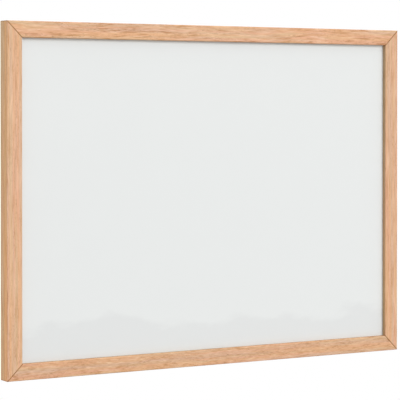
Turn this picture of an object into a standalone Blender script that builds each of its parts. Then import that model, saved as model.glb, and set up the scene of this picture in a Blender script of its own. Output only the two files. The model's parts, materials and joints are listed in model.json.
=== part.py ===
"""Framed magnetic board: a mitred oak frame round a coated steel sheet on a fibreboard core.

X runs along the width, Y from the front towards the wall and Z up. The origin lies on the
wall plane, at the middle of the top rail's back. Lengths are in metres.
"""
import math

import bmesh
import bpy
from mathutils import Vector

# Oak frame
BOARD_WIDTH = 0.600
BOARD_HEIGHT = 0.450
FRAME_DEPTH = 0.020
FACE_WIDTH = 0.021
REBATE_WIDTH = 0.006
LIP_THICKNESS = 0.006
FRONT_ARRIS = 0.0013
SIGHT_ARRIS = 0.0015
BACK_ARRIS = 0.0006

# Panel, from the front to the back
SHEET_THICKNESS = 0.0005
CORE_THICKNESS = 0.008
LINER_THICKNESS = 0.0005
PANEL_EDGE_CLEARANCE = 0.0005
PANEL_CORNER = 0.0015

# Clearances between neighbours
SEAT_GAP = 0.0003
MITRE_GAP = 0.0003

# Corner nails, bent to a V and driven in from the back
NAIL_LEG = 0.005
NAIL_THICKNESS = 0.0005
NAIL_HEIGHT = 0.007
NAIL_SETBACK = 0.0004
NAIL_HALF_ANGLE = math.radians(55)
NAIL_MARGIN = 0.0016

# Flat points that hold the panel in the rebate
POINT_LENGTH = 0.016
POINT_WIDTH = 0.0055
POINT_THICKNESS = 0.0004
POINT_TIP = 0.003
POINT_EMBEDDED = 0.006
RAIL_POINT_COUNT = 3
RAIL_POINT_MARGIN = 0.090
STILE_POINT_COUNT = 2
STILE_POINT_MARGIN = 0.135

# Keyhole hangers, let into the backs of the stiles
HANGER_DROP = 0.060
PLATE_LENGTH = 0.044
PLATE_WIDTH = 0.011
PLATE_THICKNESS = 0.0012
PLATE_SETBACK = 0.0003
MOUTH_RADIUS = 0.00425
NECK_WIDTH = 0.0046
NECK_RISE = 0.009
POCKET_DEPTH = 0.005
POCKET_MARGIN = 0.0005
SCREW_INSET = 0.0055

# Countersunk wood screws
SCREW_LENGTH = 0.012
SCREW_RADIUS = 0.0015
HEAD_RADIUS = 0.0029
HEAD_RIM = 0.0002
SCREW_TIP = 0.0025
CROSS_SPAN = 0.0031
CROSS_WIDTH = 0.0007
CROSS_DEPTH = 0.0011
SCREW_CLEARANCE = 0.0004

# Facets
ARRIS_SEGMENTS = 5
CORNER_SEGMENTS = 3
ROUND_SEGMENTS = 24
CUT_OVERRUN = 0.001
MERGE_DISTANCE = 0.000001
SMOOTH_ANGLE = math.radians(35)

# Places worked out from the sizes above
LEG_WIDTH = FACE_WIDTH - REBATE_WIDTH
TOP = LEG_WIDTH / 2
CENTRE_HEIGHT = TOP - BOARD_HEIGHT / 2
FRONT = -FRAME_DEPTH
SHEET_FRONT = FRONT + LIP_THICKNESS + SEAT_GAP
CORE_FRONT = SHEET_FRONT + SHEET_THICKNESS + SEAT_GAP
LINER_FRONT = CORE_FRONT + CORE_THICKNESS + SEAT_GAP
POINT_FRONT = LINER_FRONT + LINER_THICKNESS + SEAT_GAP
PANEL_INSET = LEG_WIDTH + PANEL_EDGE_CLEARANCE
PLATE_FRONT = -PLATE_SETBACK - PLATE_THICKNESS
PLATE_SEAT = PLATE_FRONT - SEAT_GAP
MOUTH_HEIGHT = -NECK_RISE / 2
NAIL_REACH_OUT = NAIL_LEG * (math.sin(NAIL_HALF_ANGLE) + math.cos(NAIL_HALF_ANGLE)) / math.sqrt(2)
NAIL_REACH_IN = NAIL_LEG * (math.sin(NAIL_HALF_ANGLE) - math.cos(NAIL_HALF_ANGLE)) / math.sqrt(2)
NAIL_INSETS = {
    "outer": NAIL_MARGIN + NAIL_REACH_OUT,
    "inner": LEG_WIDTH - NAIL_MARGIN - NAIL_REACH_IN,
}

# Length, distance out from the centre, and the points' number and distance from the ends
RAIL = (BOARD_WIDTH, BOARD_HEIGHT / 2, RAIL_POINT_COUNT, RAIL_POINT_MARGIN)
STILE = (BOARD_HEIGHT, BOARD_WIDTH / 2, STILE_POINT_COUNT, STILE_POINT_MARGIN)

# Each side of the frame, with its turn from the top rail's place
SIDES = {
    "top_rail": (0.0, RAIL),
    "right_stile": (math.pi / 2, STILE),
    "bottom_rail": (math.pi, RAIL),
    "left_stile": (-math.pi / 2, STILE),
}

# Each corner: the two sides that meet there, with its signs along X and Z
CORNERS = {
    "top_right": ("top_rail", "right_stile", 1, 1),
    "bottom_right": ("bottom_rail", "right_stile", 1, -1),
    "bottom_left": ("bottom_rail", "left_stile", -1, -1),
    "top_left": ("top_rail", "left_stile", -1, 1),
}


def clear_scene():
    """Remove whatever the scene holds."""
    for item in list(bpy.data.objects):
        bpy.data.objects.remove(item, do_unlink=True)


def make_material(name, colour, roughness, metallic=0.0):
    """Make a plain finish."""
    material = bpy.data.materials.new(name)
    material.use_nodes = True
    shader = material.node_tree.nodes["Principled BSDF"]
    shader.inputs["Base Color"].default_value = (*colour, 1.0)
    shader.inputs["Roughness"].default_value = roughness
    shader.inputs["Metallic"].default_value = metallic
    return material


def arc(centre, radius, start, sweep, segments):
    """Points along an arc, both ends included."""
    angles = [start + sweep * step / segments for step in range(segments + 1)]
    return [Vector((centre[0] + radius * math.cos(angle), centre[1] + radius * math.sin(angle)))
            for angle in angles]


def rounded_outline(corners, segments):
    """Turn (x, z, radius) corners into points, with each radius as an arc."""
    points = []
    for index, (x, z, radius) in enumerate(corners):
        corner = Vector((x, z))
        if radius == 0.0:
            points.append(corner)
            continue
        back = (Vector(corners[index - 1][:2]) - corner).normalized()
        ahead = (Vector(corners[(index + 1) % len(corners)][:2]) - corner).normalized()
        half_angle = back.angle(ahead) / 2
        centre = corner + (back + ahead).normalized() * radius / math.sin(half_angle)
        first = corner + back * radius / math.tan(half_angle) - centre
        last = corner + ahead * radius / math.tan(half_angle) - centre
        start = math.atan2(first.y, first.x)
        turn = math.remainder(math.atan2(last.y, last.x) - start, math.tau)
        points += arc(centre, radius, start, turn, segments)
    return points


def rectangle(width, height, radius):
    """Outline of a rectangle with rounded corners, round the local origin."""
    x, z = width / 2, height / 2
    return rounded_outline([(-x, -z, radius), (x, -z, radius), (x, z, radius), (-x, z, radius)],
                           CORNER_SEGMENTS)


def round_ended(radius, low, high):
    """Outline of an upright slot whose end circles are centred at low and high."""
    half_round = ROUND_SEGMENTS // 2
    return (arc((0.0, high), radius, 0.0, math.pi, half_round)
            + arc((0.0, low), radius, math.pi, math.pi, half_round))


def keyhole():
    """Outline of the mouth with the narrow neck above it."""
    junction = math.acos(NECK_WIDTH / 2 / MOUTH_RADIUS)
    around = arc((0.0, MOUTH_HEIGHT), MOUTH_RADIUS, math.pi - junction,
                 math.pi + 2 * junction, ROUND_SEGMENTS)
    crown = arc((0.0, MOUTH_HEIGHT + NECK_RISE), NECK_WIDTH / 2, 0.0, math.pi,
                ROUND_SEGMENTS // 2)
    return around + crown


def chevron(margin):
    """Outline of a V nail with its legs opening outwards, grown by a margin on every side."""
    half = NAIL_THICKNESS / 2 + margin
    length = NAIL_LEG + margin
    along = Vector((math.sin(NAIL_HALF_ANGLE), math.cos(NAIL_HALF_ANGLE)))
    across = Vector((along.y, -along.x))
    crotch = half / math.sin(NAIL_HALF_ANGLE)
    right = [along * length + across * half, along * length - across * half]
    left = [Vector((-point.x, point.y)) for point in reversed(right)]
    return [Vector((0.0, -crotch)), *right, Vector((0.0, crotch)), *left]


def point_outline(margin):
    """Outline of a framer's point whose sharp end is driven outwards into the rebate wall."""
    half = POINT_WIDTH / 2 + margin
    tip = POINT_EMBEDDED + margin
    shoulder = tip - POINT_TIP
    tail = POINT_EMBEDDED - POINT_LENGTH
    return [Vector((-half, tail)), Vector((half, tail)), Vector((half, shoulder)),
            Vector((0.0, tip)), Vector((-half, shoulder))]


def moulding_section():
    """Section of the oak moulding: distance from the outer edge, and place in depth."""
    return rounded_outline([
        (0.0, FRONT, FRONT_ARRIS),
        (FACE_WIDTH, FRONT, SIGHT_ARRIS),
        (FACE_WIDTH, FRONT + LIP_THICKNESS, 0.0),
        (LEG_WIDTH, FRONT + LIP_THICKNESS, 0.0),
        (LEG_WIDTH, 0.0, BACK_ARRIS),
        (0.0, 0.0, BACK_ARRIS),
    ], ARRIS_SEGMENTS)


def screw_profile(grow):
    """Half section of a countersunk screw: radius, and distance in from the head's face."""
    head_depth = HEAD_RIM + HEAD_RADIUS - SCREW_RADIUS
    lead = CUT_OVERRUN if grow else 0.0
    return [(0.0, -lead), (HEAD_RADIUS + grow, -lead), (HEAD_RADIUS + grow, HEAD_RIM),
            (SCREW_RADIUS + grow, head_depth), (SCREW_RADIUS + grow, SCREW_LENGTH - SCREW_TIP),
            (0.0, SCREW_LENGTH + grow)]


def finish_mesh(name, shape, material):
    """Turn a bmesh into a mesh with its faces pointing out and its rounds shaded smooth."""
    bmesh.ops.recalc_face_normals(shape, faces=shape.faces)
    mesh = bpy.data.meshes.new(name)
    shape.to_mesh(mesh)
    shape.free()
    mesh.shade_smooth()
    mesh.set_sharp_from_angle(angle=SMOOTH_ANGLE)
    mesh.materials.append(material)
    return mesh


def prism_mesh(name, outline, front, back, material):
    """Extrude an outline in X and Z from one depth to another."""
    shape = bmesh.new()
    face = shape.faces.new([shape.verts.new((x, front, z)) for x, z in outline])
    grown = bmesh.ops.extrude_face_region(shape, geom=[face])["geom"]
    moved = [item for item in grown if isinstance(item, bmesh.types.BMVert)]
    bmesh.ops.translate(shape, verts=moved, vec=(0.0, back - front, 0.0))
    return finish_mesh(name, shape, material)


def moulding_mesh(name, length, material):
    """Sweep the moulding's section along a side, with its ends cut to a mitre."""
    shape = bmesh.new()
    mitre_setback = MITRE_GAP / 2 * math.sqrt(2)
    section = moulding_section()
    ends = [[shape.verts.new((side * (length / 2 - across - mitre_setback), depth, -across))
             for across, depth in section] for side in (-1, 1)]
    for end in ends:
        shape.faces.new(end)
    for index in range(len(section)):
        shape.faces.new((ends[0][index - 1], ends[0][index], ends[1][index], ends[1][index - 1]))
    return finish_mesh(name, shape, material)


def turned_mesh(name, profile, material):
    """Spin a half section about the depth axis, with its distances running in from the wall."""
    shape = bmesh.new()
    points = [shape.verts.new((radius, -distance, 0.0)) for radius, distance in profile]
    edges = [shape.edges.new(pair) for pair in zip(points, points[1:])]
    bmesh.ops.spin(shape, geom=points + edges, cent=(0.0, 0.0, 0.0), axis=(0.0, 1.0, 0.0),
                   angle=math.tau, steps=ROUND_SEGMENTS, use_merge=True)
    bmesh.ops.remove_doubles(shape, verts=shape.verts, dist=MERGE_DISTANCE)
    return finish_mesh(name, shape, material)


def place(name, mesh, parent, location=(0.0, 0.0, 0.0)):
    """Add an object that shows a mesh under a parent."""
    piece = bpy.data.objects.new(name, mesh)
    bpy.context.scene.collection.objects.link(piece)
    piece.parent = parent
    piece.location = location
    return piece


def guide(name, location, turn=0.0):
    """Add an empty that carries one side, corner or hanger, turned about the depth axis."""
    empty = place(name, None, None, location)
    empty.rotation_euler.y = turn
    empty.hide_render = True
    return empty


def cutter(name, mesh, parent, location=(0.0, 0.0, 0.0)):
    """Add a tool shape that only cuts."""
    tool = place(name, mesh, parent, location)
    tool.hide_render = True
    tool.display_type = "WIRE"
    return tool


def cut(piece, tool):
    """Cut a tool's shape out of a piece."""
    boolean = piece.modifiers.new(tool.name, "BOOLEAN")
    boolean.operation = "DIFFERENCE"
    boolean.solver = "EXACT"
    boolean.object = tool


def settle(piece):
    """Apply a piece's cuts, and shade it with its edges sharp and its flats flat."""
    evaluated = piece.evaluated_get(bpy.context.evaluated_depsgraph_get())
    piece.data = bpy.data.meshes.new_from_object(evaluated)
    piece.data.name = piece.name
    piece.modifiers.clear()
    piece.data.set_sharp_from_angle(angle=SMOOTH_ANGLE)
    piece.modifiers.new("Flat faces", "WEIGHTED_NORMAL").keep_sharp = True


def add_panel(enamel, fibreboard, card):
    """Add the sheet, its core and the liner, one behind the other in the rebate."""
    centre = guide("panel_centre", (0.0, 0.0, CENTRE_HEIGHT))
    outline = rectangle(BOARD_WIDTH - 2 * PANEL_INSET, BOARD_HEIGHT - 2 * PANEL_INSET,
                        PANEL_CORNER)
    layers = {
        "writing_sheet": (SHEET_FRONT, SHEET_THICKNESS, enamel),
        "core_board": (CORE_FRONT, CORE_THICKNESS, fibreboard),
        "backing_liner": (LINER_FRONT, LINER_THICKNESS, card),
    }
    for name, (front, thickness, material) in layers.items():
        place(name, prism_mesh(name, outline, front, front + thickness, material), centre)


def add_sides(oak, steel):
    """Add the four mitred members and the points driven into their rebate walls."""
    members = {}
    point = prism_mesh("point", point_outline(0.0), POINT_FRONT, POINT_FRONT + POINT_THICKNESS,
                       steel)
    slot = prism_mesh("point_slot", point_outline(SEAT_GAP), POINT_FRONT - SEAT_GAP,
                      POINT_FRONT + POINT_THICKNESS + SEAT_GAP, oak)
    for name, (turn, (length, distance, count, margin)) in SIDES.items():
        outward = Vector((math.sin(turn), 0.0, math.cos(turn)))
        side = guide(name + "_side", outward * distance + Vector((0.0, 0.0, CENTRE_HEIGHT)), turn)
        member = place(name, moulding_mesh(name, length, oak), side)
        members[name] = member
        first = margin - length / 2
        spacing = (length - 2 * margin) / (count - 1)
        for index in range(count):
            spot = (first + index * spacing, 0.0, -LEG_WIDTH)
            place(f"{name}_point_{index + 1}", point, side, spot)
            cut(member, cutter(f"{name}_slot_{index + 1}", slot, side, spot))
    return members


def add_corner_nails(members, oak, steel):
    """Add two V nails across each mitre, in pockets cut in both members."""
    nail = prism_mesh("nail", chevron(0.0), -NAIL_SETBACK - NAIL_HEIGHT, -NAIL_SETBACK, steel)
    pocket = prism_mesh("nail_pocket", chevron(SEAT_GAP), -NAIL_SETBACK - NAIL_HEIGHT - SEAT_GAP,
                        CUT_OVERRUN, oak)
    for name, (rail, stile, right, up) in CORNERS.items():
        spot = (right * BOARD_WIDTH / 2, 0.0, CENTRE_HEIGHT + up * BOARD_HEIGHT / 2)
        corner = guide(name + "_corner", spot, math.atan2(right, up))
        for row, inset in NAIL_INSETS.items():
            depth = (0.0, 0.0, -inset * math.sqrt(2))
            place(f"{name}_{row}_nail", nail, corner, depth)
            tool = cutter(f"{name}_{row}_pocket", pocket, corner, depth)
            cut(members[rail], tool)
            cut(members[stile], tool)


def add_hangers(members, oak, zinc, steel):
    """Add a keyhole plate with two screws to the back of each stile, near the top."""
    straight = PLATE_LENGTH / 2 - PLATE_WIDTH / 2
    plate = prism_mesh("plate", round_ended(PLATE_WIDTH / 2, -straight, straight), PLATE_FRONT,
                       -PLATE_SETBACK, zinc)
    recess = prism_mesh("recess", round_ended(PLATE_WIDTH / 2 + SEAT_GAP, -straight, straight),
                        PLATE_SEAT, CUT_OVERRUN, oak)
    pocket = prism_mesh(
        "pocket", round_ended(MOUTH_RADIUS + POCKET_MARGIN, MOUTH_HEIGHT,
                              MOUTH_HEIGHT + NECK_RISE),
        PLATE_SEAT - POCKET_DEPTH, PLATE_SEAT + CUT_OVERRUN / 2, oak)
    opening = prism_mesh("opening", keyhole(), PLATE_FRONT - CUT_OVERRUN, CUT_OVERRUN, zinc)
    screw = turned_mesh("screw", screw_profile(0.0), steel)
    pilot = turned_mesh("pilot", screw_profile(SCREW_CLEARANCE), oak)
    cross = [prism_mesh(f"cross_{index}", rectangle(*size, 0.0), -CROSS_DEPTH, CUT_OVERRUN, steel)
             for index, size in enumerate([(CROSS_SPAN, CROSS_WIDTH), (CROSS_WIDTH, CROSS_SPAN)])]
    for side, right in {"left": -1, "right": 1}.items():
        member = members[side + "_stile"]
        spot = (right * (BOARD_WIDTH / 2 - LEG_WIDTH / 2), 0.0, TOP - HANGER_DROP)
        hanger = guide(side + "_hanger", spot)
        hanger_plate = place(side + "_hanger_plate", plate, hanger)
        cut(hanger_plate, cutter(side + "_keyhole", opening, hanger))
        cut(member, cutter(side + "_plate_recess", recess, hanger))
        cut(member, cutter(side + "_head_pocket", pocket, hanger))
        for level, up in {"upper": 1, "lower": -1}.items():
            place_screw = (0.0, -PLATE_SETBACK, up * (PLATE_LENGTH / 2 - SCREW_INSET))
            fixing = place(f"{side}_{level}_screw", screw, hanger, place_screw)
            hole = cutter(f"{side}_{level}_pilot", pilot, hanger, place_screw)
            cut(hanger_plate, hole)
            cut(member, hole)
            for index, bar in enumerate(cross):
                cut(fixing, cutter(f"{side}_{level}_cross_{index}", bar, hanger, place_screw))


def build():
    """Build the whole board."""
    clear_scene()
    oak = make_material("oak", (0.74, 0.47, 0.28), 0.55)
    enamel = make_material("white_enamel", (0.83, 0.84, 0.83), 0.12)
    fibreboard = make_material("fibreboard", (0.42, 0.29, 0.18), 0.85)
    card = make_material("grey_card", (0.46, 0.43, 0.38), 0.9)
    steel = make_material("steel", (0.55, 0.55, 0.55), 0.35, 1.0)
    zinc = make_material("zinc", (0.62, 0.63, 0.64), 0.4, 1.0)
    add_panel(enamel, fibreboard, card)
    members = add_sides(oak, steel)
    add_corner_nails(members, oak, steel)
    add_hangers(members, oak, zinc, steel)
    for piece in [item for item in bpy.data.objects if item.modifiers]:
        settle(piece)
    for tool in [item for item in bpy.data.objects if item.display_type == "WIRE"]:
        bpy.data.objects.remove(tool, do_unlink=True)


build()
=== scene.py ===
"""Looks of the framed magnetic board: oak members, a white enamelled sheet and its hardware.

Lengths are in metres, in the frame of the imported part: X along the width, Y towards the wall, Z up.
A noise's scale is in cells for each metre, and colours are linear.
"""
import json
import math
from typing import NamedTuple

import bmesh
import bpy
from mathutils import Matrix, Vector


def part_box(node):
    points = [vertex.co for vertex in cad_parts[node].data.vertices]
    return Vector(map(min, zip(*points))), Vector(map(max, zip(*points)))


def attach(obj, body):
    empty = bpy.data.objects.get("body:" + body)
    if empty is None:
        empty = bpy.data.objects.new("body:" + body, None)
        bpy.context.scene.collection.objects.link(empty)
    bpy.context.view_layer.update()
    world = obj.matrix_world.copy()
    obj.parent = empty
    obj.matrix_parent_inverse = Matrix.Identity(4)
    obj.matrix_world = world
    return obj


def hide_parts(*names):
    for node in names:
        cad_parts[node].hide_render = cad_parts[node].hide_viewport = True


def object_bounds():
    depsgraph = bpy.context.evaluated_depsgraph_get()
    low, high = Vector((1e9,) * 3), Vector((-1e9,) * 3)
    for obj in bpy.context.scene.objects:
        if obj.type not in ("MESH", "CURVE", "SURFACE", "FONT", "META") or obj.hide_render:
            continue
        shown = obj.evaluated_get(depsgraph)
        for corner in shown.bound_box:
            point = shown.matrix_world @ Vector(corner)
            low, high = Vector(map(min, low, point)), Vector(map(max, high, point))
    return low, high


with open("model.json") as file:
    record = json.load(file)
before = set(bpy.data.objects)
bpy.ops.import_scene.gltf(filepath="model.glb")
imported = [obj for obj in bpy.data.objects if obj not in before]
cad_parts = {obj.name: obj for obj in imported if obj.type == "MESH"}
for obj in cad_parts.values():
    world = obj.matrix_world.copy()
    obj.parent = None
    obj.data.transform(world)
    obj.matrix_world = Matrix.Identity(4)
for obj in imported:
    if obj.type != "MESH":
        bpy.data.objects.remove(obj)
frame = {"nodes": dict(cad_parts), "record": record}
cad_low, cad_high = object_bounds()


class Lamp(NamedTuple):
    """A broad square lamp: its bearing from the board's front and its height angle, both in degrees,
    its power in watts, its side, and whether bare metal mirrors it."""
    bearing: float
    height: float
    power: float
    side: float
    mirrored: bool


class OakMember(NamedTuple):
    """How one oak member is cut from the log: whether it stands, its place in the log, how strongly
    its streaks stand out, how long they run, how narrow they are, how far they wander to either side,
    and the tone of the whole member."""
    upright: bool
    place: float
    figure: float
    run: float
    fineness: float
    wander: float
    tone: float


class Metal(NamedTuple):
    """Bare or plated steel: its colour, its roughness, and its rolling marks' scale on each axis."""
    tint: tuple
    roughness: float
    marks: tuple


# Camera: the photo's view, from the board's left and a little above its middle
FOCAL_LENGTH = 162.7
CAMERA_LEFT = 1.2251
CAMERA_BEFORE_FRONT = 2.0596
CAMERA_ABOVE_BOTTOM = 0.3417
CAMERA_TURN = math.radians(30.281)
CAMERA_PITCH = math.radians(0.714)
CAMERA_SHIFT = -0.175

# Floor: pale near the board and white further out, but darker where it only throws light back
FLOOR_DROP = 1.20
FLOOR_RADIUS = 30.0
FLOOR_SIDES = 96
FLOOR_FADE = (1.2, 2.6)
FLOOR_COLOUR = (0.86, 0.86, 0.86)
FLOOR_BOUNCE = (0.38, 0.38, 0.38)
FLOOR_ROUGHNESS = 0.8

# Light: the world's strength at the horizon and overhead, the lamps' distance, and the lamps
WHITE = (1.0, 1.0, 1.0, 1.0)
WORLD_AROUND = 0.48
WORLD_ABOVE = 1.05
LAMP_REACH = 10.0
LAMPS = {
    "key": Lamp(bearing=18.0, height=24.0, power=476.0, side=4.0, mirrored=True),
    "side": Lamp(bearing=-106.0, height=10.0, power=168.0, side=4.4, mirrored=True),
    "rear": Lamp(bearing=165.0, height=20.0, power=370.0, side=10.0, mirrored=False),
}

# Finer forms: which points and faces become one, and how far each material's edges are eased
WELD_DISTANCE = 0.000002
FLAT_ANGLE = math.radians(0.5)
EDGE_ANGLE = math.radians(40)
EDGE_STEPS = 2
OAK_EDGE = 0.00025
SHEET_EDGE = 0.00008
BOARD_EDGE = 0.0002
METAL_EDGE = 0.00006

# Oak members
OAK_MEMBERS = {
    "top_rail": OakMember(
        upright=False, place=1.0, figure=1.50, run=0.95, fineness=1.0, wander=0.010, tone=0.982),
    "bottom_rail": OakMember(
        upright=False, place=15.7, figure=1.30, run=0.5, fineness=1.2, wander=0.005, tone=0.932),
    "left_stile": OakMember(
        upright=True, place=3.9, figure=1.00, run=1.2, fineness=1.15, wander=0.0025, tone=1.00),
    "right_stile": OakMember(
        upright=True, place=10.4, figure=0.97, run=1.1, fineness=1.1, wander=0.0025, tone=0.955),
}

# How far one step of a member's place moves it through the log, on each axis
LOG_STEP = (3.7, 0.9, 1.3)

# Oak grain: each noise's scale along the fibres and across them
DRIFT_GRAIN = (11.0, 30.0)
BAND_GRAIN = (16.0, 170.0)
STREAK_GRAIN = (34.0, 420.0)
FINE_GRAIN = (64.0, 850.0)
HUE_GRAIN = (3.0, 190.0)
TINGE_GRAIN = (6.0, 240.0)
PORE_GRAIN = (200.0, 2800.0)

# Shares of the bands, streaks and fine fibres in the depth of tone
BAND_SHARE = 0.18
STREAK_SHARE = 0.40
FINE_SHARE = 0.42

# Oak tone: where a noise starts to tell and where it tells in full, and how strongly
HUE_SPAN = (0.36, 0.64)
BROWN_SPAN = (0.48, 0.76)
PALE_SPAN = (0.50, 0.26)
FIGURE_STRENGTH = 1.05

# Bands in which open pores start to crowd and crowd in full, and the noise that opens one in each
CROWD_SPAN = (0.40, 0.62)
PORE_OPENS = (0.68, 0.59)

# How far past that noise a pore starts and is fully open, and how strongly it shows
PORE_SPAN = (0.0, 0.05)
PORE_STRENGTH = 0.42

# How much a face looks forward where it starts to count as a side, and where it fully does
SIDE_FACING = (0.35, 0.05)

# Depths between which a side goes from its front tint to its back one
SIDE_DEPTH = (-0.014, -0.005)

# How far in from the outside the sides of the sight edge start, where a painted shade darkens them,
# and where they are in full
FLANK_SHADE_INSET = (0.012, 0.018)

# Reach and strength of the stain at the mitres
JOINT_STAIN = 0.0018
JOINT_STRENGTH = 0.76

# Oak surface
OAK_ROUGHNESS = (0.56, 0.70)
OAK_GLOSS = 0.22
OAK_FIBRE_HEIGHT = 0.5
OAK_BUMP = (0.30, 0.00010)

# Oak colours, and those that only tint what lies under them
OAK_DUN = (0.727, 0.468, 0.296)
OAK_ORANGE = (0.807, 0.445, 0.258)
OAK_PALE = (0.880, 0.572, 0.360)
OAK_BROWN = (0.585, 0.285, 0.128)
OAK_PORE = (0.350, 0.150, 0.060)
OAK_STAIN = (0.375, 0.152, 0.034)
OAK_ROSE = (0.985, 0.985, 1.05)
OAK_STRAW = (0.985, 1.01, 0.96)
OAK_SIDE_FRONT = (1.01, 0.94, 0.75)
OAK_SIDE_BACK = (0.88, 0.93, 0.86)
# Painted shade on the sight edge's sides, which lie in the recess before the sheet
OAK_FLANK_PAINTED_SHADE = (0.77, 0.87, 0.97)

# Enamel: its colour, the painted reflection along its foot (a faint darker band whose top slopes and
# wanders), its gloss and its peel
ENAMEL = (0.801, 0.818, 0.810)
ENAMEL_PAINTED_REFLECTION = (0.760, 0.774, 0.769)
REFLECTION_RISE = 0.0135
REFLECTION_SLOPE = -0.018
REFLECTION_WANDER = -0.070
REFLECTION_SPAN = (0.006, -0.010)
REFLECTION_SCALE = (16.0, 500.0, 30.0)
SMEAR_SCALE = (9.0, 9.0, 14.0)
PEEL_SCALE = (420.0, 420.0, 420.0)
ENAMEL_ROUGHNESS = (0.15, 0.24)
ENAMEL_BUMP = (0.05, 0.00005)

# Fibreboard
FIBREBOARD = (0.330, 0.215, 0.125)
FIBREBOARD_FLECK = (0.500, 0.350, 0.220)
FLECK_SCALE = (1400.0, 1400.0, 1400.0)
FLECK_SPAN = (0.4, 0.7)
BLOTCH_SCALE = (60.0, 60.0, 60.0)
BLOTCH_STRENGTH = 0.3
FIBREBOARD_ROUGHNESS = 0.9
FIBREBOARD_BUMP = (0.3, 0.0001)

# Grey card
CARD = (0.350, 0.330, 0.295)
CARD_PALE = (0.440, 0.420, 0.380)
CARD_FIBRE = (0.700, 0.620, 0.480)
CARD_MOTTLE_SCALE = (240.0, 240.0, 240.0)
CARD_MOTTLE_COARSENESS = 0.7
CARD_FLECK_SCALE = (900.0, 900.0, 900.0)
CARD_FLECK_SPAN = (0.68, 0.74)
CARD_FLECK_STRENGTH = 0.55
CARD_HAIR_SCALE = (260.0, 260.0, 1300.0)
CARD_HAIR_CURL = 1.5
CARD_HAIR_SPAN = (0.66, 0.74)
CARD_HAIR_STRENGTH = 0.45
CARD_ROUGHNESS = 0.92
CARD_BUMP = (0.25, 0.0001)

# Metals, by the material slots of the pieces
STEEL = (0.56, 0.56, 0.55)
ZINC = (0.58, 0.60, 0.62)
METALS = {
    "nail_steel": Metal(tint=STEEL, roughness=0.38, marks=(900.0, 60.0, 900.0)),
    "point_steel": Metal(tint=STEEL, roughness=0.34, marks=(700.0, 700.0, 90.0)),
    "zinc_plate": Metal(tint=ZINC, roughness=0.34, marks=(1500.0, 1500.0, 90.0)),
    "screw_steel": Metal(tint=ZINC, roughness=0.26, marks=(600.0, 600.0, 600.0)),
}
METAL_SHADE = 0.88
METAL_MOTTLE_SCALE = (500.0, 500.0, 500.0)
METAL_SMOOTHER = 0.08
METAL_ROUGHER = 0.12
METAL_BUMP = (0.2, 0.00003)

# Middle stretches of a noise, over which a surface goes from one state to the other
BROAD_SPAN = (0.2, 0.8)
MARKS_SPAN = (0.25, 0.75)
MOTTLE_SPAN = (0.3, 0.7)


def node(tree, kind, inputs=None, **settings):
    """Add a shader node, with its settings, and values or sockets for its inputs."""
    made = tree.nodes.new("ShaderNode" + kind)
    for key, value in settings.items():
        setattr(made, key, value)
    for key, value in (inputs or {}).items():
        if isinstance(value, bpy.types.NodeSocket):
            tree.links.new(value, made.inputs[key])
        else:
            made.inputs[key].default_value = value
    return made


def math_node(tree, operation, first, second=0.0):
    """Add a math node and return its result."""
    return node(tree, "Math", {0: first, 1: second}, operation=operation).outputs[0]


def span(tree, value, low, high, start=0.0, end=1.0):
    """Map a value smoothly from one span to another."""
    return node(tree, "MapRange", {"Value": value, "From Min": low, "From Max": high,
                                   "To Min": start, "To Max": end},
                interpolation_type="SMOOTHSTEP").outputs["Result"]


def mix_colour(tree, factor, first, second, blend="MIX"):
    """Mix two colours, each a socket or three numbers."""
    made = node(tree, "Mix", data_type="RGBA", blend_type=blend)
    factor_socket, first_socket, second_socket = made.inputs[0], made.inputs[6], made.inputs[7]
    for socket, value in ((factor_socket, factor), (first_socket, first), (second_socket, second)):
        if isinstance(value, bpy.types.NodeSocket):
            tree.links.new(value, socket)
        elif isinstance(value, tuple):
            socket.default_value = (*value, 1.0)
        else:
            socket.default_value = value
    return made.outputs[2]


def noise(tree, vector, scale, detail, roughness=0.5, distortion=0.0):
    """Noise over the vector, with a scale along each of its axes."""
    scaled = node(tree, "VectorMath", {0: vector, 1: scale}, operation="MULTIPLY").outputs[0]
    return node(tree, "TexNoise", {"Vector": scaled, "Scale": 1.0, "Detail": detail,
                                   "Roughness": roughness,
                                   "Distortion": distortion}).outputs["Fac"]


def seen_ray(tree):
    """Tell whether a ray comes from the camera, straight or by way of a mirror or glass."""
    paths = node(tree, "LightPath")
    return math_node(tree, "MAXIMUM", paths.outputs["Is Camera Ray"],
                     math_node(tree, "MAXIMUM", paths.outputs["Is Glossy Ray"],
                               paths.outputs["Is Transmission Ray"]))


def new_material(name):
    """Make a material with an empty Principled shader, and return it with its tree and shader."""
    material = bpy.data.materials.new(name)
    material.use_nodes = True
    tree = material.node_tree
    return material, tree, tree.nodes["Principled BSDF"]


def bump(tree, shader, height, strength, distance):
    """Raise a shader's surface by a height."""
    made = node(tree, "Bump", {"Height": height, "Strength": strength, "Distance": distance})
    tree.links.new(made.outputs[0], shader.inputs["Normal"])


def inset(tree, place):
    """Give how far a point lies in from the board's nearer side, and from its nearer end."""
    axes = node(tree, "SeparateXYZ", {0: place})
    centre = (cad_low + cad_high) / 2
    half = (cad_high - cad_low) / 2
    from_side = math_node(tree, "SUBTRACT", half.x, math_node(
        tree, "ABSOLUTE", math_node(tree, "SUBTRACT", axes.outputs["X"], centre.x)))
    from_end = math_node(tree, "SUBTRACT", half.z, math_node(
        tree, "ABSOLUTE", math_node(tree, "SUBTRACT", axes.outputs["Z"], centre.z)))
    return from_side, from_end


def grain(tree, fibres, scale, run=1.0, fineness=1.0):
    """Noise drawn out along the fibres, from its scale along them and across them."""
    along, across = scale
    return noise(tree, fibres, (along / run, across * fineness, across * fineness), detail=1.0)


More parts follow.
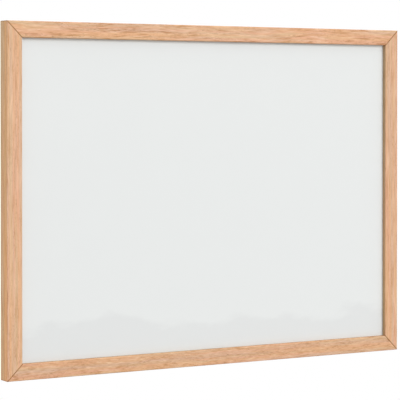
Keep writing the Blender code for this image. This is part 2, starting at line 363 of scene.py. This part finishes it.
def oak_fibres(tree, place, member):
    """Turn a place into one along a member's fibres, which stray a little to either side."""
    turn = math.pi / 2 if member.upright else 0.0
    in_log = tuple(member.place * step for step in LOG_STEP)
    straight = node(tree, "Mapping", {"Vector": place, "Rotation": (0.0, turn, 0.0),
                                      "Location": in_log}).outputs[0]
    drift = grain(tree, straight, DRIFT_GRAIN, member.run)
    bend = math_node(tree, "MULTIPLY", drift, member.wander)
    aside = node(tree, "CombineXYZ", {"X": 0.0, "Y": bend, "Z": bend}).outputs[0]
    return node(tree, "VectorMath", {0: straight, 1: aside}).outputs[0]


def oak_tone(tree, fibres, member, band, streak, fine):
    """Colour the wood by its bands of growth, the streaks in them and its fine fibres."""
    depth = math_node(tree, "ADD", math_node(tree, "MULTIPLY", band, BAND_SHARE),
                      math_node(tree, "MULTIPLY", streak, STREAK_SHARE))
    depth = math_node(tree, "ADD", depth, math_node(tree, "MULTIPLY", fine, FINE_SHARE))
    strength = FIGURE_STRENGTH * member.figure
    hue = grain(tree, fibres, HUE_GRAIN)
    colour = mix_colour(tree, span(tree, hue, *HUE_SPAN), OAK_DUN, OAK_ORANGE)
    colour = mix_colour(tree, span(tree, depth, *BROWN_SPAN, 0.0, strength), colour, OAK_BROWN)
    colour = mix_colour(tree, span(tree, depth, *PALE_SPAN, 0.0, strength), colour, OAK_PALE)
    tinge = grain(tree, fibres, TINGE_GRAIN, fineness=member.fineness)
    tinge = mix_colour(tree, span(tree, tinge, *HUE_SPAN), OAK_STRAW, OAK_ROSE)
    return mix_colour(tree, 1.0, colour, tinge, blend="MULTIPLY")


def oak_pores(tree, fibres, band):
    """Find the open pores, which crowd where the bands are deep."""
    opens = span(tree, band, *CROWD_SPAN, *PORE_OPENS)
    pore = grain(tree, fibres, PORE_GRAIN)
    return span(tree, math_node(tree, "SUBTRACT", pore, opens), *PORE_SPAN)


def oak_sides(tree, place, colour, from_side, from_end):
    """Deepen the faces that look sideways, and paint a deeper shade still on those of the sight edge,
    which lie in the recess.
    """
    facing = node(tree, "SeparateXYZ", {0: node(tree, "TexCoord").outputs["Normal"]}).outputs["Y"]
    sideways = span(tree, math_node(tree, "ABSOLUTE", facing), *SIDE_FACING)
    depth = node(tree, "SeparateXYZ", {0: place}).outputs["Y"]
    side = mix_colour(tree, span(tree, depth, *SIDE_DEPTH), OAK_SIDE_FRONT, OAK_SIDE_BACK)
    colour = mix_colour(tree, sideways, colour, side, blend="MULTIPLY")
    # Painted shade: the sight edge's sides, in the recess, are darkened further
    inner = span(tree, math_node(tree, "MINIMUM", from_side, from_end), *FLANK_SHADE_INSET)
    flank_shade = math_node(tree, "MULTIPLY", sideways, inner)
    return mix_colour(tree, flank_shade, colour, OAK_FLANK_PAINTED_SHADE, blend="MULTIPLY")


def oak_material(name, member):
    """Satin oak with its grain along a member, its pores, its deeper sides and its mitres."""
    material, tree, shader = new_material(name)
    place = node(tree, "TexCoord").outputs["Object"]
    fibres = oak_fibres(tree, place, member)
    band = grain(tree, fibres, BAND_GRAIN, member.run)
    streak = grain(tree, fibres, STREAK_GRAIN, member.run, member.fineness)
    fine = grain(tree, fibres, FINE_GRAIN, member.run, member.fineness)
    pore = oak_pores(tree, fibres, band)
    from_side, from_end = inset(tree, place)

    colour = oak_tone(tree, fibres, member, band, streak, fine)
    shown = math_node(tree, "MULTIPLY", pore, PORE_STRENGTH * member.figure)
    colour = mix_colour(tree, shown, colour, OAK_PORE)
    colour = oak_sides(tree, place, colour, from_side, from_end)
    colour = mix_colour(tree, 1.0, colour, (member.tone, member.tone, member.tone),
                        blend="MULTIPLY")
    off_mitre = math_node(tree, "ABSOLUTE", math_node(tree, "SUBTRACT", from_side, from_end))
    stain = span(tree, off_mitre, JOINT_STAIN, 0.0, 0.0, JOINT_STRENGTH)
    colour = mix_colour(tree, stain, colour, OAK_STAIN)
    tree.links.new(colour, shader.inputs["Base Color"])

    roughness = span(tree, streak, *BROAD_SPAN, *OAK_ROUGHNESS)
    tree.links.new(roughness, shader.inputs["Roughness"])
    shader.inputs["Specular IOR Level"].default_value = OAK_GLOSS
    raised = math_node(tree, "MULTIPLY", fine, OAK_FIBRE_HEIGHT)
    bump(tree, shader, math_node(tree, "SUBTRACT", raised, pore), *OAK_BUMP)
    return material


def enamel_material():
    """Glossy white enamel with a faint orange peel, and a painted reflection along its foot: a faint
    darker band.
    """
    material, tree, shader = new_material("white_enamel")
    place = node(tree, "TexCoord").outputs["Object"]
    axes = node(tree, "SeparateXYZ", {0: place})
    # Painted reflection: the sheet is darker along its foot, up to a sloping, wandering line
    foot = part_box("writing_sheet")[0].z
    slope = math_node(tree, "MULTIPLY", axes.outputs["X"], REFLECTION_SLOPE)
    wisp = noise(tree, place, REFLECTION_SCALE, detail=3.0)
    rise = math_node(tree, "SUBTRACT", axes.outputs["Z"], foot + REFLECTION_RISE)
    rise = math_node(tree, "SUBTRACT", rise, slope)
    rise = math_node(tree, "ADD", rise, math_node(tree, "MULTIPLY", wisp, REFLECTION_WANDER))
    colour = mix_colour(tree, span(tree, rise, *REFLECTION_SPAN), ENAMEL, ENAMEL_PAINTED_REFLECTION)
    tree.links.new(colour, shader.inputs["Base Color"])
    smear = noise(tree, place, SMEAR_SCALE, detail=3.0)
    roughness = span(tree, smear, *BROAD_SPAN, *ENAMEL_ROUGHNESS)
    tree.links.new(roughness, shader.inputs["Roughness"])
    peel = noise(tree, place, PEEL_SCALE, detail=1.0)
    bump(tree, shader, peel, *ENAMEL_BUMP)
    return material


def fibreboard_material():
    """Raw fibreboard with fine pale and dark fibres."""
    material, tree, shader = new_material("fibreboard")
    place = node(tree, "TexCoord").outputs["Object"]
    fleck = noise(tree, place, FLECK_SCALE, detail=2.0)
    blotch = noise(tree, place, BLOTCH_SCALE, detail=3.0)
    colour = mix_colour(tree, span(tree, fleck, *FLECK_SPAN), FIBREBOARD, FIBREBOARD_FLECK)
    shown = math_node(tree, "MULTIPLY", blotch, BLOTCH_STRENGTH)
    colour = mix_colour(tree, shown, colour, FIBREBOARD)
    tree.links.new(colour, shader.inputs["Base Color"])
    shader.inputs["Roughness"].default_value = FIBREBOARD_ROUGHNESS
    bump(tree, shader, fleck, *FIBREBOARD_BUMP)
    return material


def card_material():
    """Uncoated grey card with recycled flecks and short fibres."""
    material, tree, shader = new_material("grey_card")
    place = node(tree, "TexCoord").outputs["Object"]
    mottle = noise(tree, place, CARD_MOTTLE_SCALE, detail=4.0, roughness=CARD_MOTTLE_COARSENESS)
    fleck = noise(tree, place, CARD_FLECK_SCALE, detail=2.0)
    hair = noise(tree, place, CARD_HAIR_SCALE, detail=2.0, distortion=CARD_HAIR_CURL)
    colour = mix_colour(tree, span(tree, mottle, *MOTTLE_SPAN), CARD, CARD_PALE)
    flecked = span(tree, fleck, *CARD_FLECK_SPAN, 0.0, CARD_FLECK_STRENGTH)
    colour = mix_colour(tree, flecked, colour, FIBREBOARD)
    haired = span(tree, hair, *CARD_HAIR_SPAN, 0.0, CARD_HAIR_STRENGTH)
    colour = mix_colour(tree, haired, colour, CARD_FIBRE)
    tree.links.new(colour, shader.inputs["Base Color"])
    shader.inputs["Roughness"].default_value = CARD_ROUGHNESS
    bump(tree, shader, math_node(tree, "ADD", hair, mottle), *CARD_BUMP)
    return material


def metal_material(name, metal):
    """Bare or plated steel with fine rolling marks and a mottled colour."""
    material, tree, shader = new_material(name)
    place = node(tree, "TexCoord").outputs["Object"]
    marks = noise(tree, place, metal.marks, detail=3.0)
    mottle = noise(tree, place, METAL_MOTTLE_SCALE, detail=2.0)
    shaded = tuple(channel * METAL_SHADE for channel in metal.tint)
    colour = mix_colour(tree, span(tree, mottle, *MOTTLE_SPAN), shaded, metal.tint)
    tree.links.new(colour, shader.inputs["Base Color"])
    roughness = span(tree, marks, *MARKS_SPAN, metal.roughness - METAL_SMOOTHER,
                     metal.roughness + METAL_ROUGHER)
    tree.links.new(roughness, shader.inputs["Roughness"])
    shader.inputs["Metallic"].default_value = 1.0
    bump(tree, shader, marks, *METAL_BUMP)
    return material


def refined(name, edge, material):
    """Copy a solid to a new piece with its flats whole, its sharp edges eased and its own finish."""
    shape = bmesh.new()
    shape.from_mesh(frame["nodes"][name].data)
    bmesh.ops.remove_doubles(shape, verts=shape.verts, dist=WELD_DISTANCE)
    bmesh.ops.dissolve_limit(shape, angle_limit=FLAT_ANGLE, verts=shape.verts,
                             edges=shape.edges)
    mesh = bpy.data.meshes.new(name + "_finished")
    shape.to_mesh(mesh)
    shape.free()
    mesh.shade_smooth()
    mesh.materials.append(material)
    piece = bpy.data.objects.new(name + "_finished", mesh)
    bpy.context.scene.collection.objects.link(piece)
    easing = piece.modifiers.new("Eased edges", "BEVEL")
    easing.width = edge
    easing.segments = EDGE_STEPS
    easing.limit_method = "ANGLE"
    easing.angle_limit = EDGE_ANGLE
    piece.modifiers.new("Flat faces", "WEIGHTED_NORMAL")
    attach(piece, "root")
    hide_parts(name)


def add_board():
    """Dress every piece of the board."""
    for name, member in OAK_MEMBERS.items():
        refined(name, OAK_EDGE, oak_material(name + "_oak", member))
    refined("writing_sheet", SHEET_EDGE, enamel_material())
    refined("core_board", BOARD_EDGE, fibreboard_material())
    refined("backing_liner", SHEET_EDGE, card_material())
    metals = {slot: metal_material(slot, metal) for slot, metal in METALS.items()}
    slots = {entry["node"]: entry["material_slot"] for entry in frame["record"]["subparts"]}
    for name, slot in sorted(slots.items()):
        if slot in metals:
            refined(name, METAL_EDGE, metals[slot])


def add_camera():
    """Stand the camera where the photo was taken from."""
    data = bpy.data.cameras.new("photo_view")
    data.lens = FOCAL_LENGTH
    data.shift_y = CAMERA_SHIFT
    camera = bpy.data.objects.new("photo_view", data)
    bpy.context.scene.collection.objects.link(camera)
    camera.location = (-CAMERA_LEFT, cad_low.y - CAMERA_BEFORE_FRONT,
                       cad_low.z + CAMERA_ABOVE_BOTTOM)
    camera.rotation_euler = (math.pi / 2 - CAMERA_PITCH, 0.0, -CAMERA_TURN)
    bpy.context.scene.camera = camera


def floor_material(centre):
    """Pale floor that keeps shadows near the board and turns plain white further out."""
    material, tree, shader = new_material("floor")
    shader.inputs["Roughness"].default_value = FLOOR_ROUGHNESS
    seen = seen_ray(tree)
    tree.links.new(mix_colour(tree, seen, FLOOR_BOUNCE, FLOOR_COLOUR), shader.inputs["Base Color"])
    place = node(tree, "NewGeometry").outputs["Position"]
    away = node(tree, "VectorMath", {0: place, 1: centre}, operation="DISTANCE").outputs["Value"]
    factor = math_node(tree, "MULTIPLY", seen, span(tree, away, *FLOOR_FADE))
    plain = node(tree, "Emission", {"Color": WHITE, "Strength": 1.0})
    both = node(tree, "MixShader", {0: factor, 1: shader.outputs[0], 2: plain.outputs[0]})
    tree.links.new(both.outputs[0], tree.nodes["Material Output"].inputs["Surface"])
    return material


def add_floor():
    """Lay a round pale floor below the board."""
    shape = bmesh.new()
    bmesh.ops.create_circle(shape, cap_ends=True, segments=FLOOR_SIDES, radius=FLOOR_RADIUS)
    mesh = bpy.data.meshes.new("floor")
    shape.to_mesh(mesh)
    shape.free()
    floor = bpy.data.objects.new("floor", mesh)
    floor.location = (0.0, 0.0, cad_low.z - FLOOR_DROP)
    mesh.materials.append(floor_material(floor.location))
    bpy.context.scene.collection.objects.link(floor)


def add_world():
    """Light the board from all round, more from above, and show plain white where it is seen."""
    world = bpy.data.worlds.new("studio")
    world.use_nodes = True
    bpy.context.scene.world = world
    tree = world.node_tree
    soft = tree.nodes["Background"]
    soft.inputs["Color"].default_value = WHITE
    rise = node(tree, "SeparateXYZ", {0: node(tree, "TexCoord").outputs["Generated"]}).outputs["Z"]
    tree.links.new(span(tree, rise, 0.0, 1.0, WORLD_AROUND, WORLD_ABOVE), soft.inputs["Strength"])
    plain = node(tree, "Background", {"Color": WHITE, "Strength": 1.0})
    both = node(tree, "MixShader", {0: seen_ray(tree), 1: soft.outputs[0], 2: plain.outputs[0]})
    tree.links.new(both.outputs[0], tree.nodes["World Output"].inputs["Surface"])


def add_lamps():
    """Hang broad lamps before, beside and behind the board.

    The one behind isn't mirrored in bare metal, which would turn plain white.
    """
    for name, lamp in LAMPS.items():
        data = bpy.data.lights.new(name, "AREA")
        data.energy = lamp.power
        data.size = lamp.side
        turn, lift = math.radians(lamp.bearing), math.radians(lamp.height)
        away = Vector((math.sin(turn) * math.cos(lift), -math.cos(turn) * math.cos(lift),
                       math.sin(lift)))
        light = bpy.data.objects.new(name, data)
        light.location = (cad_low + cad_high) / 2 + away * LAMP_REACH
        light.rotation_euler = (-away).to_track_quat("-Z", "Y").to_euler()
        light.visible_glossy = lamp.mirrored
        bpy.context.scene.collection.objects.link(light)


add_board()
add_camera()
add_floor()
add_world()
add_lamps()
bpy.context.scene.view_settings.view_transform = "Standard"
